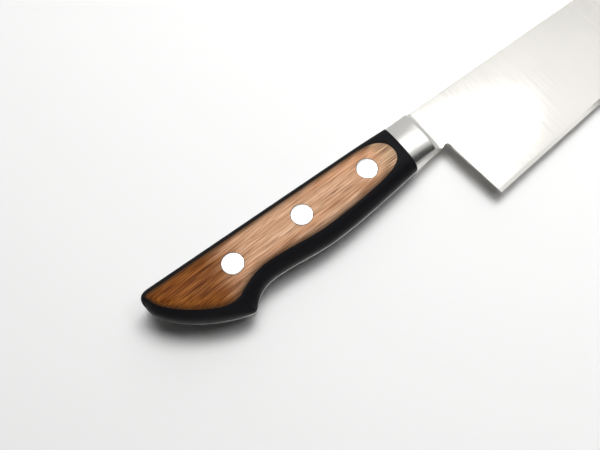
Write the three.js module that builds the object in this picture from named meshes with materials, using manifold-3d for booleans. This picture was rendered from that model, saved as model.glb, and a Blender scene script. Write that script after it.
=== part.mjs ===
// A gyuto, the chef's knife of a kitchen: a blade and full tang in one piece of steel, two bolster
// cheeks welded to the tang, and two-layer wood scales held by three two-part rivets.
// Millimetres. X runs to the point, Y to the spine and Z out of the right face. Sizes are taken from
// the joint between scales and bolster, on the spine line, at the middle of the steel's thickness.
// The finished knife is then set down on its left side, over the middle of its outline.

import * as THREE from 'three';
import { mergeVertices } from 'three/addons/utils/BufferGeometryUtils.js';
import Module from 'manifold-3d';

const wasm = await Module();
wasm.setup();

// Blade in plan
const BLADE_LENGTH = 210; // heel corner to point, along the spine line
const HEEL_SETBACK = 20.2; // joint to heel corner
const HEEL_DEPTH = 46; // spine line to heel corner
const HEEL_LEAN = THREE.MathUtils.degToRad(5); // heel line against the square
const EDGE_RISE = THREE.MathUtils.degToRad(4.4); // edge against the spine, at the heel
const EDGE_STRAIGHT = 110; // pull of the flat part of the edge
const EDGE_SWEEP = 45; // pull of the curved part of the edge
const EDGE_SWEEP_ANGLE = THREE.MathUtils.degToRad(28);
const POINT_DROP = 14; // spine line to point
const SPINE_STRAIGHT = 110; // joint to where the spine starts to fall
const SPINE_EASE = 50; // pull of the spine as it leaves the straight
const SPINE_FALL = 30; // pull of the spine into the point
const SPINE_FALL_ANGLE = THREE.MathUtils.degToRad(16);
const NECK_DEPTH = 18.8; // spine line to the steel's lower side in front of the bolster
const CHOIL_DEPTH = 18.2; // spine line to the top of the choil
const CHOIL_RADIUS = 1.4; // inner corner between choil and heel

// Blade in thickness
const STEEL_THICKNESS = 2; // tang, and spine at the bolster
const HEEL_THICKNESS = 0.7; // behind the edge bevel at the heel
const POINT_THICKNESS = 0.6;
const BEVEL_WIDTH = 1.6; // ground edge, on each side
const EDGE_THICKNESS = 0.1; // flat left at the very edge

// Handle in plan
const HANDLE_LENGTH = 110; // joint to rearmost point
const BACK_DIP = 0.5; // spine line down to the handle's back at the joint
const BACK_RISE = 0.9; // spine line up to the handle's back at its rear end
const JOINT_DEPTH = 20.4; // depth of the handle at the joint
const JOINT_SLOPE = 0.1; // slope of the belly there
const SWELL_DEPTH = 23.7; // fullest part of the grip
const SWELL_FROM_WAIST = 25.5;
const WAIST_DEPTH = 21.6; // drawn-in part before the beak
const WAIST_FROM_BEAK = 12.5;
const BEAK_DEPTH = 27.8; // hooked lower corner of the butt
const BEAK_FROM_BUTT = 30.2;
const BEAK_SLOPE = 1.05; // slope of the belly into the beak
const BEAK_ROUND = 1; // blunting of the beak
const BUTT_SLOPE = 0.28; // slope of the butt behind the beak
const BUTT_SWEEP = 12.5; // pull of the butt behind the beak
const BUTT_TURN = 9; // pull of the butt at its rearmost point
const REAR_CORNER = 4.5; // round between butt and back
const CORNER_FULLNESS = 0.7; // how square that round is, 1 is a sharp corner

// Handle in thickness, each measured from the middle of the steel
const JOINT_HALF = 6.4; // at the joint
const GRIP_HALF = 8.2; // at the grip and the butt
const GRIP_RUN = 18; // joint to full thickness
const FACE_LAYER = 1.13; // brown layer over the grip
const SPINE_ROUND = 9; // reach of the rounding along the back
const SPINE_WALL = 0.61; // share of the half thickness that stands square at the back
const JOINT_ROUND = 9; // reach of the rounding along the belly, at the joint
const BELLY_ROUND = 14.6; // the same at the grip
const BUTT_ROUND = 11; // reach of the rounding along the butt, towards the beak
const REAR_ROUND = 2.8; // the same at the upper corner of the butt
const REAR_RUN = 10.6; // depth over which the one becomes the other
const SOFT_WALL = 0.08; // share that stands square at belly and butt
const ROUND_POWER = 2.5; // fullness of belly and butt, 2 is an ellipse

// Bolster
const BOLSTER_LENGTH = 11; // joint to the front corner of the cheek
const BOLSTER_HALF = 4; // at that corner
const BOLSTER_FILLET = 3.5; // hollow between cheek and blade
const BOLSTER_TOE = 0.05; // thickness of the cheek where the hollow ends

// Rivets
const RIVET_DEPTH = 10.3; // spine line to rivet
const RIVET_FROM_JOINT = 16.9;
const RIVET_FROM_BUTT = 32.9;
const HEAD_DIAMETER = 8;
const HEAD_LENGTH = 3.5; // under the surface of the grip
const SLEEVE_DIAMETER = 5;
const PIN_DIAMETER = 3;
const RIVET_REACH = 3.2; // of sleeve and pin past the middle of the steel

// Fits
const RIVET_CLEARANCE = 0.15; // on the radius
const GLUE_LINE = 0.05; // between the two layers of a scale
const JOINT_GAP = 0.05; // between scales and bolster

// Fineness of curves and rounds
const BELLY_STEPS = [12, 6, 8]; // joint to swell, to waist, to beak
const BUTT_STEPS = 10;
const CORNER_STEPS = 4;
const SPINE_STEPS = 14;
const EDGE_STEPS = 36;
const CHOIL_STEPS = 5;
const ACROSS_STEPS = 14;
const BOLSTER_STEPS = 4;
const FILLET_STEPS = 5;
const RIVET_SIDES = 32;
const MARGIN = 2; // how far a cutting tool reaches past what it cuts
const WELD = 1e-5;

const STEEL_HALF = STEEL_THICKNESS / 2;
const LAYER_HEIGHT = GRIP_HALF - FACE_LAYER;
const HEAD_SEAT = GRIP_HALF - HEAD_LENGTH;
const POINT = new THREE.Vector2(HEEL_SETBACK + BLADE_LENGTH, -POINT_DROP);
const HEEL = new THREE.Vector2(HEEL_SETBACK, -HEEL_DEPTH);
const BEAK = new THREE.Vector2(BEAK_FROM_BUTT - HANDLE_LENGTH, -BEAK_DEPTH);
const FILLET = Math.max(BOLSTER_FILLET, BOLSTER_HALF - STEEL_HALF);
const FILLET_END = BOLSTER_LENGTH + filletRun(BOLSTER_HALF - STEEL_HALF);
const TOE = FILLET_END - filletRun(BOLSTER_TOE);

const steel = new THREE.MeshStandardMaterial({ color: 0xd9d9d6, roughness: 0.28, metalness: 1 });
const satinSteel = new THREE.MeshStandardMaterial({ color: 0xcfcfcc, roughness: 0.35, metalness: 1 });
const rivetSteel = new THREE.MeshStandardMaterial({ color: 0xe6e6e4, roughness: 0.25, metalness: 1 });
const blackWood = new THREE.MeshStandardMaterial({ color: 0x17171b, roughness: 0.5, metalness: 0 });
const brownWood = new THREE.MeshStandardMaterial({ color: 0xa0623c, roughness: 0.45, metalness: 0 });

// Solids

// Joins shared corners, drops empty triangles and turns the faces outwards.
function closed(geometry) {
  const bare = new THREE.BufferGeometry();
  bare.setAttribute('position', geometry.getAttribute('position'));
  bare.setIndex(geometry.index);
  const merged = mergeVertices(bare, WELD);
  const corners = Array.from({ length: 3 }, () => new THREE.Vector3());
  const position = merged.getAttribute('position');
  const triangles = [];
  let volume = 0;
  for (let i = 0; i < merged.index.count; i += 3) {
    const triangle = [0, 1, 2].map((k) => merged.index.getX(i + k));
    if (new Set(triangle).size === 3) {
      triangle.forEach((vertex, k) => corners[k].fromBufferAttribute(position, vertex));
      volume += corners[0].dot(corners[1].cross(corners[2]));
      triangles.push(triangle);
    }
  }
  const outward = volume > 0 ? triangles : triangles.map((triangle) => triangle.reverse());
  merged.setIndex(outward.flat());
  return merged;
}

function solid(geometry) {
  const body = closed(geometry);
  const vertProperties = new Float32Array(body.getAttribute('position').array);
  const triVerts = new Uint32Array(body.index.array);
  return new wasm.Manifold(new wasm.Mesh({ numProp: 3, vertProperties, triVerts }));
}

function surface(body) {
  const { vertProperties, triVerts } = body.getMesh();
  const geometry = new THREE.BufferGeometry();
  geometry.setAttribute('position', new THREE.BufferAttribute(vertProperties, 3));
  geometry.setIndex(new THREE.BufferAttribute(triVerts, 1));
  return geometry;
}

// The same solid on the other side of the steel.
function mirrored(body) {
  return solid(surface(body).scale(1, 1, -1));
}

function piece(name, body, material) {
  const geometry = surface(body);
  geometry.computeVertexNormals();
  const mesh = new THREE.Mesh(geometry, material);
  mesh.name = name;
  return mesh;
}

// A round cutter along Z.
function drill(diameter, centre, low, high) {
  const geometry = new THREE.CylinderGeometry(diameter / 2, diameter / 2, high - low, RIVET_SIDES);
  geometry.rotateX(Math.PI / 2);
  geometry.translate(centre.x, centre.y, (low + high) / 2);
  return solid(geometry);
}

// A slab that covers the whole handle between two heights.
function slab(low, high) {
  const geometry = new THREE.BoxGeometry(2 * HANDLE_LENGTH, 2 * HANDLE_LENGTH, high - low);
  geometry.translate(-HANDLE_LENGTH / 2, 0, (low + high) / 2);
  return solid(geometry);
}

// Skins rings of corners, one ring after another, and caps both ends.
function loft(rings) {
  const sides = rings[0].length;
  const index = [];
  for (let ring = 0; ring < rings.length - 1; ring += 1) {
    for (let side = 0; side < sides; side += 1) {
      const a = ring * sides + side;
      const b = ring * sides + ((side + 1) % sides);
      index.push(a, b, b + sides, a, b + sides, a + sides);
    }
  }
  const last = (rings.length - 1) * sides;
  for (let side = 1; side < sides - 1; side += 1) {
    index.push(0, side + 1, side, last, last + side, last + side + 1);
  }
  const geometry = new THREE.BufferGeometry().setFromPoints(rings.flat());
  geometry.setIndex(index);
  return solid(geometry);
}

// Outlines

// Carries a path on to a point as a cubic in x, leaving and arriving at given slopes.
function glide(path, end, startSlope, endSlope) {
  const start = path.currentPoint;
  const third = (end.x - start.x) / 3;
  path.bezierCurveTo(
    start.x + third,
    start.y + third * startSlope,
    end.x - third,
    end.y - third * endSlope,
    end.x,
    end.y,
  );
}

// Upper side of handle, bolster and neck at a distance from the joint.
function backPoint(x) {
  const front = THREE.MathUtils.lerp(-BACK_DIP, 0, Math.min(x / BOLSTER_LENGTH, 1));
  const rear = THREE.MathUtils.lerp(-BACK_DIP, BACK_RISE, -x / HANDLE_LENGTH);
  return new THREE.Vector2(x, x > 0 ? front : rear);
}

// Lower side of the handle, from the joint back to the beak.
function bellyLine() {
  const waist = new THREE.Vector2(BEAK.x + WAIST_FROM_BEAK, -WAIST_DEPTH);
  const swell = new THREE.Vector2(waist.x + SWELL_FROM_WAIST, -SWELL_DEPTH);
  const beakStart = new THREE.Vector2(BEAK.x + BEAK_ROUND, BEAK.y + BEAK_ROUND * BEAK_SLOPE);
  const path = new THREE.Path();
  path.moveTo(0, -JOINT_DEPTH);
  glide(path, swell, JOINT_SLOPE, 0);
  glide(path, waist, 0, 0);
  glide(path, beakStart, 0, BEAK_SLOPE);
  return path.curves.flatMap((curve, i) => curve.getPoints(BELLY_STEPS[i]).slice(i > 0 ? 1 : 0));
}

// Rear end of the handle, from the beak to the rearmost point.
function buttLine(beakStart) {
  const beakEnd = new THREE.Vector2(BEAK.x - BEAK_ROUND, BEAK.y + BEAK_ROUND * BUTT_SLOPE);
  const rear = new THREE.Vector2(-HANDLE_LENGTH, backPoint(-HANDLE_LENGTH).y - REAR_CORNER);
  const beak = new THREE.QuadraticBezierCurve(beakStart, BEAK, beakEnd);
  const butt = new THREE.CubicBezierCurve(
    beakEnd,
    new THREE.Vector2(beakEnd.x - BUTT_SWEEP, beakEnd.y + BUTT_SWEEP * BUTT_SLOPE),
    new THREE.Vector2(rear.x, rear.y - BUTT_TURN),
    rear,
  );
  return [...beak.getPoints(CORNER_STEPS), ...butt.getPoints(BUTT_STEPS).slice(1)];
}

// Upper corner of the butt, from the rearmost point to the back.
function cornerLine(rear) {
  const sharp = backPoint(-HANDLE_LENGTH);
  const back = backPoint(REAR_CORNER - HANDLE_LENGTH);
  const curve = new THREE.CubicBezierCurve(
    rear,
    rear.clone().lerp(sharp, CORNER_FULLNESS),
    back.clone().lerp(sharp, CORNER_FULLNESS),
    back,
  );
  return curve.getPoints(CORNER_STEPS);
}

// Cutting edge, from the heel corner to the point.
function edgeCurve() {
  const along = (angle, length) => new THREE.Vector2(Math.cos(angle), Math.sin(angle)).multiplyScalar(length);
  return new THREE.CubicBezierCurve(
    HEEL,
    HEEL.clone().add(along(EDGE_RISE, EDGE_STRAIGHT)),
    POINT.clone().sub(along(EDGE_SWEEP_ANGLE, EDGE_SWEEP)),
    POINT,
  );
}

// Back of the blade, from the end of its straight part to the point.
function spineCurve() {
  return new THREE.CubicBezierCurve(
    new THREE.Vector2(SPINE_STRAIGHT, 0),
    new THREE.Vector2(SPINE_STRAIGHT + SPINE_EASE, 0),
    new THREE.Vector2(
      POINT.x - SPINE_FALL * Math.cos(SPINE_FALL_ANGLE),
      POINT.y + SPINE_FALL * Math.sin(SPINE_FALL_ANGLE),
    ),
    POINT,
  );
}

// Inner corner between the heel line and the neck, from the heel to the neck.
function choilLine() {
  const top = new THREE.Vector2(HEEL.x - (HEEL_DEPTH - CHOIL_DEPTH) * Math.tan(HEEL_LEAN), -CHOIL_DEPTH);
  const down = new THREE.Vector2(Math.sin(HEEL_LEAN), -Math.cos(HEEL_LEAN)).multiplyScalar(CHOIL_RADIUS);
  const curve = new THREE.QuadraticBezierCurve(
    top.clone().add(down),
    top,
    new THREE.Vector2(top.x - CHOIL_RADIUS, top.y),
  );
  return curve.getPoints(CHOIL_STEPS);
}

const BELLY = bellyLine();
const BUTT = buttLine(BELLY.at(-1));
const CORNER = cornerLine(BUTT.at(-1));
const NECK = [
  new THREE.Vector2(FILLET_END, -NECK_DEPTH),
  new THREE.Vector2(BOLSTER_LENGTH, -NECK_DEPTH),
  BELLY[0],
];
const LOWER_SIDE = [...NECK, ...BELLY];
const BACK = [...CORNER, backPoint(0), backPoint(BOLSTER_LENGTH), backPoint(FILLET_END)];

// Outer surface of handle and bolster

function distanceTo(line, point) {
  const segment = new THREE.Line3();
  const nearest = new THREE.Vector3();
  const place = new THREE.Vector3(point.x, point.y, 0);
  let least = Infinity;
  for (let i = 1; i < line.length; i += 1) {
    segment.start.set(line[i - 1].x, line[i - 1].y, 0);
    segment.end.set(line[i].x, line[i].y, 0);
    segment.closestPointToPoint(place, true, nearest);
    least = Math.min(least, nearest.distanceTo(place));
  }
  return least;
}

// Share of the full height at a distance from an outer line that is rounded over.
function rounding(distance, reach, wall, power) {
  const left = Math.max(0, 1 - distance / reach);
  return wall + (1 - wall) * (1 - left ** power) ** (1 / power);
}

// Length of the bolster's hollow from its end to where it stands a given height over the steel.
function filletRun(height) {
  return Math.sqrt(FILLET ** 2 - (FILLET - height) ** 2);
}

// A size that grows from its value at the joint, ever more slowly, to its value at the grip.
function towardsGrip(x, atJoint, atGrip) {
  const left = THREE.MathUtils.clamp(1 + x / GRIP_RUN, 0, 1);
  return THREE.MathUtils.lerp(atGrip, atJoint, left ** 2);
}

// Height of the crown over the middle of the steel, along the handle and the bolster.
function crownHeight(x) {
  if (x <= 0) {
    return towardsGrip(x, JOINT_HALF, GRIP_HALF);
  }
  if (x <= BOLSTER_LENGTH) {
    return THREE.MathUtils.lerp(JOINT_HALF, BOLSTER_HALF, x / BOLSTER_LENGTH);
  }
  const run = FILLET_END - x;
  return STEEL_HALF + FILLET - Math.sqrt(Math.max(0, FILLET ** 2 - run ** 2));
}

// Half thickness of the blade: a flat flank that thins from spine to edge and from heel to point.
function flankHeight(point) {
  const grind = (STEEL_HALF - HEEL_THICKNESS / 2) / HEEL_DEPTH;
  const taper = (STEEL_HALF - POINT_THICKNESS / 2 - grind * POINT_DROP) / (POINT.x - BOLSTER_LENGTH);
  return STEEL_HALF - taper * (point.x - BOLSTER_LENGTH) + grind * point.y;
}

function outerHeight(point) {
  const back = rounding(distanceTo(BACK, point), SPINE_ROUND, SPINE_WALL, 2);
  const bellyReach = towardsGrip(point.x, JOINT_ROUND, BELLY_ROUND);
  const belly = rounding(distanceTo(LOWER_SIDE, point), bellyReach, SOFT_WALL, ROUND_POWER);
  const buttReach = THREE.MathUtils.lerp(
    REAR_ROUND,
    BUTT_ROUND,
    THREE.MathUtils.smoothstep(-point.y, 0, REAR_RUN),
  );
  const butt = rounding(distanceTo(BUTT, point), buttReach, SOFT_WALL, ROUND_POWER);
  const ground = THREE.MathUtils.smoothstep(point.x, BOLSTER_LENGTH, TOE);
  const steelFace = THREE.MathUtils.lerp(STEEL_HALF, flankHeight(point), ground);
  return steelFace + (crownHeight(point.x) - STEEL_HALF) * back * belly * butt;
}

// A solid from a flat floor up to the outer surface, between two long sides that run along X and are
// given point by point.
function pillow(upper, lower, floor) {
  const columns = ACROSS_STEPS + 1;
  const top = upper.flatMap((start, i) =>
    Array.from({ length: columns }, (_, j) => {
      const share = (1 - Math.cos((Math.PI * j) / ACROSS_STEPS)) / 2;
      const point = start.clone().lerp(lower[i], share);
      return new THREE.Vector3(point.x, point.y, outerHeight(point));
    }),
  );
  const base = [...upper, ...lower].map((point) => new THREE.Vector3(point.x, point.y, floor));
  const index = [];
  const quad = (a, b, c, d) => index.push(a, b, c, a, c, d);
  const rows = upper.length;
  for (let i = 0; i < rows - 1; i += 1) {
    const first = i * columns;
    const last = first + ACROSS_STEPS;
    const upperBase = top.length + i;
    const lowerBase = upperBase + rows;
    for (let a = first; a < last; a += 1) {
      quad(a, a + 1, a + 1 + columns, a + columns);
    }
    quad(first, first + columns, upperBase + 1, upperBase);
    quad(last + columns, last, lowerBase, lowerBase + 1);
    quad(upperBase, upperBase + 1, lowerBase + 1, lowerBase);
  }
  const front = (rows - 1) * columns;
  const frontBase = top.length + rows - 1;
  for (let j = 0; j < ACROSS_STEPS; j += 1) {
    index.push(top.length, j + 1, j);
    index.push(frontBase, front + j, front + j + 1);
  }
  index.push(top.length, top.length + rows, ACROSS_STEPS);
  index.push(frontBase, front + ACROSS_STEPS, frontBase + rows);
  const geometry = new THREE.BufferGeometry().setFromPoints([...top, ...base]);
  geometry.setIndex(index);
  return solid(geometry);
}

// One scale before it is drilled, from a floor up to its outer surface.
function scaleBlank(floor) {
  const end = [...BUTT, ...CORNER.slice(1)];
  const backOfEnd = end.map((_, i) => {
    const share = i / (end.length - 1);
    return backPoint(THREE.MathUtils.lerp(end[0].x, end.at(-1).x, share));
  });
  const upper = [...BELLY.map((point) => backPoint(point.x)), ...backOfEnd.slice(1)];
  const lower = [...BELLY, ...end.slice(1)];
  return pillow(upper.reverse(), lower.reverse(), floor);
}

// Pieces of the right side

function rivetCentres() {
  const front = -RIVET_FROM_JOINT;
  const rear = RIVET_FROM_BUTT - HANDLE_LENGTH;
  return [front, (front + rear) / 2, rear].map((x) => new THREE.Vector2(x, -RIVET_DEPTH));
}

function drilledScale() {
  let body = scaleBlank(STEEL_HALF);
  for (const centre of rivetCentres()) {
    const sleeve = SLEEVE_DIAMETER + 2 * RIVET_CLEARANCE;
    const head = HEAD_DIAMETER + 2 * RIVET_CLEARANCE;
    body = body.subtract(drill(sleeve, centre, 0, HEAD_SEAT + MARGIN));
    body = body.subtract(drill(head, centre, HEAD_SEAT, GRIP_HALF + MARGIN));
  }
  return body;
}

function scaleCore() {
  return drilledScale().intersect(slab(0, LAYER_HEIGHT - GLUE_LINE / 2));
}

function scaleFace() {
  return drilledScale().intersect(slab(LAYER_HEIGHT + GLUE_LINE / 2, GRIP_HALF + MARGIN));
}

// A cheek follows the steel: the flat of the tang, and the flank from the cheek's front corner on.
function bolsterCheek() {
  const stations = [];
  for (let i = 0; i <= BOLSTER_STEPS; i += 1) {
    stations.push(THREE.MathUtils.lerp(JOINT_GAP, BOLSTER_LENGTH, i / BOLSTER_STEPS));
  }
  for (let i = 1; i <= FILLET_STEPS; i += 1) {
    stations.push(THREE.MathUtils.lerp(BOLSTER_LENGTH, TOE, i / FILLET_STEPS));
  }
  const upper = stations.map((x) => backPoint(x));
  const lower = stations.map((x) => {
    const depth = THREE.MathUtils.lerp(JOINT_DEPTH, NECK_DEPTH, Math.min(x / BOLSTER_LENGTH, 1));
    return new THREE.Vector2(x, -depth);
  });
  return pillow(upper, lower, 0).subtract(slab(-MARGIN, STEEL_HALF).subtract(flankCut()));
}

// Half a rivet, turned from a profile and cut flush with the scale's outer surface.
function rivetHalf(profile, centre) {
  const geometry = new THREE.LatheGeometry(
    profile.map(([radius, height]) => new THREE.Vector2(radius, height)),
    RIVET_SIDES,
  );
  geometry.rotateX(Math.PI / 2);
  geometry.translate(centre.x, centre.y, 0);
  return solid(geometry).intersect(scaleBlank(-GRIP_HALF));
}

function rivetSleeve(centre) {
  const bore = PIN_DIAMETER / 2 + RIVET_CLEARANCE;
  return rivetHalf(
    [
      [0, GRIP_HALF + MARGIN],
      [HEAD_DIAMETER / 2, GRIP_HALF + MARGIN],
      [HEAD_DIAMETER / 2, HEAD_SEAT],
      [SLEEVE_DIAMETER / 2, HEAD_SEAT],
      [SLEEVE_DIAMETER / 2, -RIVET_REACH],
      [bore, -RIVET_REACH],
      [bore, RIVET_REACH + RIVET_CLEARANCE],
      [0, RIVET_REACH + RIVET_CLEARANCE],
    ],
    centre,
  );
}

function rivetPin(centre) {
  return rivetHalf(
    [
      [0, GRIP_HALF + MARGIN],
      [HEAD_DIAMETER / 2, GRIP_HALF + MARGIN],
      [HEAD_DIAMETER / 2, HEAD_SEAT],
      [PIN_DIAMETER / 2, HEAD_SEAT],
      [PIN_DIAMETER / 2, -RIVET_REACH],
      [0, -RIVET_REACH],
    ],
    centre,
  );
}

// Blade and tang

// What grinding takes off the right flank, from the front corner of the cheek on.
function flankCut() {
  const length = POINT.x - BOLSTER_LENGTH + MARGIN;
  const width = HEEL_DEPTH + 2 * MARGIN;
  const geometry = new THREE.BoxGeometry(length, width, 1);
  geometry.translate(BOLSTER_LENGTH + length / 2, MARGIN - width / 2, 0);
  const position = geometry.getAttribute('position');
  const corner = new THREE.Vector3();
  for (let i = 0; i < position.count; i += 1) {
    corner.fromBufferAttribute(position, i);
    position.setZ(i, corner.z < 0 ? flankHeight(corner) : STEEL_HALF + MARGIN);
  }
  return solid(geometry);
}

// What sharpening takes off the right side of the edge.
function bevelCut() {
  const edge = edgeCurve();
  const rings = [];
  for (let i = -1; i <= EDGE_STEPS + 1; i += 1) {
    const t = THREE.MathUtils.clamp(i / EDGE_STEPS, 0, 1);
    const tangent = edge.getTangent(t);
    const inward = new THREE.Vector2(-tangent.y, tangent.x);
    const overrun = i < 0 ? -MARGIN : i > EDGE_STEPS ? MARGIN : 0;
    const start = edge.getPoint(t).addScaledVector(tangent, overrun);
    const shoulder = start.clone().addScaledVector(inward, BEVEL_WIDTH);
    const slope = (flankHeight(shoulder) - EDGE_THICKNESS / 2) / BEVEL_WIDTH;
    const corner = (reach, height) => {
      const place = start.clone().addScaledVector(inward, reach);
      return new THREE.Vector3(place.x, place.y, height);
    };
    rings.push([
      corner(-MARGIN, EDGE_THICKNESS / 2 - slope * MARGIN),
      corner(BEVEL_WIDTH + MARGIN, EDGE_THICKNESS / 2 + slope * (BEVEL_WIDTH + MARGIN)),
      corner(BEVEL_WIDTH + MARGIN, STEEL_HALF + MARGIN),
      corner(-MARGIN, STEEL_HALF + MARGIN),
    ]);
  }
  return loft(rings);
}

function bladeAndTang() {
  const outline = new THREE.Shape([
    ...CORNER,
    backPoint(0),
    backPoint(BOLSTER_LENGTH),
    ...spineCurve().getPoints(SPINE_STEPS),
    ...edgeCurve().getPoints(EDGE_STEPS).reverse().slice(1),
    ...choilLine(),
    ...NECK.slice(0, 2),
    ...BELLY,
    ...BUTT.slice(1, -1),
  ]);
  const plate = new THREE.ExtrudeGeometry(outline, { depth: STEEL_THICKNESS, bevelEnabled: false });
  plate.translate(0, 0, -STEEL_HALF);
  let body = solid(plate);
  for (const cut of [flankCut(), bevelCut()]) {
    body = body.subtract(cut).subtract(mirrored(cut));
  }
  for (const centre of rivetCentres()) {
    body = body.subtract(drill(SLEEVE_DIAMETER + 2 * RIVET_CLEARANCE, centre, -MARGIN, MARGIN));
  }
  return body;
}

// Assembly

const knife = new THREE.Group();
knife.add(piece('blade', bladeAndTang(), steel));

const RIGHT_PIECES = [
  ['bolster', bolsterCheek(), satinSteel],
  ['scale_core', scaleCore(), blackWood],
  ['scale_face', scaleFace(), brownWood],
];
for (const [name, body, material] of RIGHT_PIECES) {
  knife.add(piece(`${name}_right`, body, material));
  knife.add(piece(`${name}_left`, mirrored(body), material));
}

rivetCentres().forEach((centre, i) => {
  const place = ['front', 'middle', 'rear'][i];
  knife.add(piece(`rivet_sleeve_${place}`, rivetSleeve(centre), rivetSteel));
  knife.add(piece(`rivet_pin_${place}`, mirrored(rivetPin(centre)), rivetSteel));
});

const outside = new THREE.Box3().setFromObject(knife, true);
const middle = outside.getCenter(new THREE.Vector3());
knife.position.set(-middle.x, -middle.y, -outside.min.z);

export default knife;
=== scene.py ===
import math

import bmesh
import bpy
import numpy as np
from mathutils import Matrix, Vector


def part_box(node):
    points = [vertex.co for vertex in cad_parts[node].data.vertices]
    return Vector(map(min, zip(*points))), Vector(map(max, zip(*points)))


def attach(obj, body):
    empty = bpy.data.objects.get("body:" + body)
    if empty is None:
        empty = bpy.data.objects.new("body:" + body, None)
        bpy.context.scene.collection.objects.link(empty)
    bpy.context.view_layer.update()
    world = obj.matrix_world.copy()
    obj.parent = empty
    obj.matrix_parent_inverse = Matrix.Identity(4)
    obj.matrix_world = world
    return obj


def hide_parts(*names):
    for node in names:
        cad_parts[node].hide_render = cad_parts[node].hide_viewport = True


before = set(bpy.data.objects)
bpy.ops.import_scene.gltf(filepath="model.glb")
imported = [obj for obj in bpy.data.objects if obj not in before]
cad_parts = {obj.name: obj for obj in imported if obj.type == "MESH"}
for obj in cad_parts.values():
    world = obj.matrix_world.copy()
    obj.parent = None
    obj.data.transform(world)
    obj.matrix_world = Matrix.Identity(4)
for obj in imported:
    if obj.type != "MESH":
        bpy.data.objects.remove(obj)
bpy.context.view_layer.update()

MM = 0.001

# Sizes in millimetres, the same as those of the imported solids. X runs from the joint between scales
# and bolster to the point, Y to the spine, and Z from the middle of the steel out of the right face.

# Outline of the blade
BLADE_LENGTH = 210
HEEL_SETBACK = 20.2
HEEL_DEPTH = 46
HEEL_LEAN = math.radians(5)
EDGE_RISE = math.radians(4.4)
EDGE_STRAIGHT = 110
EDGE_SWEEP = 45
EDGE_SWEEP_ANGLE = math.radians(28)
POINT_DROP = 14
SPINE_STRAIGHT = 110
SPINE_EASE = 50
SPINE_FALL = 30
SPINE_FALL_ANGLE = math.radians(16)
NECK_DEPTH = 18.8
CHOIL_DEPTH = 18.2
CHOIL_RADIUS = 1.4

# Thickness of the steel
STEEL_HALF = 1
HEEL_HALF = 0.35
POINT_HALF = 0.3
BEVEL_WIDTH = 1.6
EDGE_HALF = 0.05

# Outline of the handle
HANDLE_LENGTH = 110
BACK_DIP = 0.5
BACK_RISE = 0.9
JOINT_DEPTH = 20.4
JOINT_SLOPE = 0.1
SWELL_DEPTH = 23.7
SWELL_FROM_WAIST = 25.5
WAIST_DEPTH = 21.6
WAIST_FROM_BEAK = 12.5
BEAK_DEPTH = 27.8
BEAK_FROM_BUTT = 30.2
BEAK_SLOPE = 1.05
BEAK_ROUND = 1
BUTT_SLOPE = 0.28
BUTT_SWEEP = 12.5
BUTT_TURN = 9
REAR_CORNER = 4.5
CORNER_FULLNESS = 0.7

# Crown of the handle, with the reach of its rounding on each side
JOINT_HALF = 6.4
GRIP_HALF = 8.2
GRIP_RUN = 18
FACE_LAYER = 1.13
SPINE_ROUND = 9
SPINE_WALL = 0.61
SPINE_POWER = 2
JOINT_ROUND = 9
BELLY_ROUND = 14.6
BUTT_ROUND = 11
REAR_ROUND = 2.8
REAR_RUN = 10.6
SOFT_WALL = 0.08
ROUND_POWER = 2.5

BOLSTER_LENGTH = 11
BOLSTER_HALF = 4
BOLSTER_FILLET = 3.5

RIVET_DEPTH = 10.3
RIVET_FROM_JOINT = 16.9
RIVET_FROM_BUTT = 32.9
HEAD_RADIUS = 4
HEAD_LENGTH = 3.5
SLEEVE_RADIUS = 2.5
PIN_RADIUS = 1.5
RIVET_REACH = 3.2

RIVET_CLEARANCE = 0.15
JOINT_GAP = 0.05

# The glue line is much thinner here than in the solids, so that no light shows through it.
GLUE_LINE = 0.004

# Finish that the solids leave out: broken edges, and a grind that thins over the last run to the point
SPINE_BREAK = 0.3
TANG_BREAK = 0.08
HEAD_BREAK = 0.12
POINT_RUN = 9
POINT_BREAK_SHARE = 0.1

# Length of the step between the flat tang and the ground flank
STEP_RUN = 0.05

# How finely the meshes follow the curves
FRONT_STEPS = 56
WAIST_STEPS = 26
BEAK_STEPS = 8
BUTT_STEPS = 48
CORNER_STEPS = 14
EDGE_STEPS = 160
SPINE_STEPS = 80
CHOIL_STEPS = 10
HEEL_POINTS = 12
STRAIGHT_POINTS = 24
BACK_POINTS = 40
CHEEK_POINTS = 17
SCALE_STEPS_ACROSS = 56
CHEEK_STEPS_ACROSS = 48
ROUND_SIDES = 96
HEAD_RINGS = 7
HEAD_MIDDLE = 0.5
QUARTER_TURN = np.radians([0, 30, 60, 90])

# Edges sharper than these angles, in degrees, stay creases.
SCALE_CREASE = 40
CHEEK_CREASE = 32
RIVET_CREASE = 40
BLADE_CREASE = 9

# Cutters reach past the piece that they drill, and the shank's cutter into that of the head.
CUT_PAST = 2
CUT_OVERLAP = 1

# Points closer than WELD are one, and TINY keeps a division from zero.
WELD = 1e-4
TINY = 1e-12

LAYER_HEIGHT = GRIP_HALF - FACE_LAYER
HEAD_SEAT = GRIP_HALF - HEAD_LENGTH
POINT = np.array([HEEL_SETBACK + BLADE_LENGTH, -POINT_DROP])
HEEL = np.array([HEEL_SETBACK, -HEEL_DEPTH])
BEAK = np.array([BEAK_FROM_BUTT - HANDLE_LENGTH, -BEAK_DEPTH])
FILLET_END = BOLSTER_LENGTH + math.sqrt(
    BOLSTER_FILLET**2 - (BOLSTER_FILLET - BOLSTER_HALF + STEEL_HALF) ** 2
)

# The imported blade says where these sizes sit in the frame.
blade_low, blade_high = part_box("blade")
ORIGIN = np.array(
    [
        blade_high.x - POINT[0] * MM,
        blade_low.y - HEEL[1] * MM,
        (blade_low.z + blade_high.z) / 2,
    ]
)


# Outlines


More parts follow.
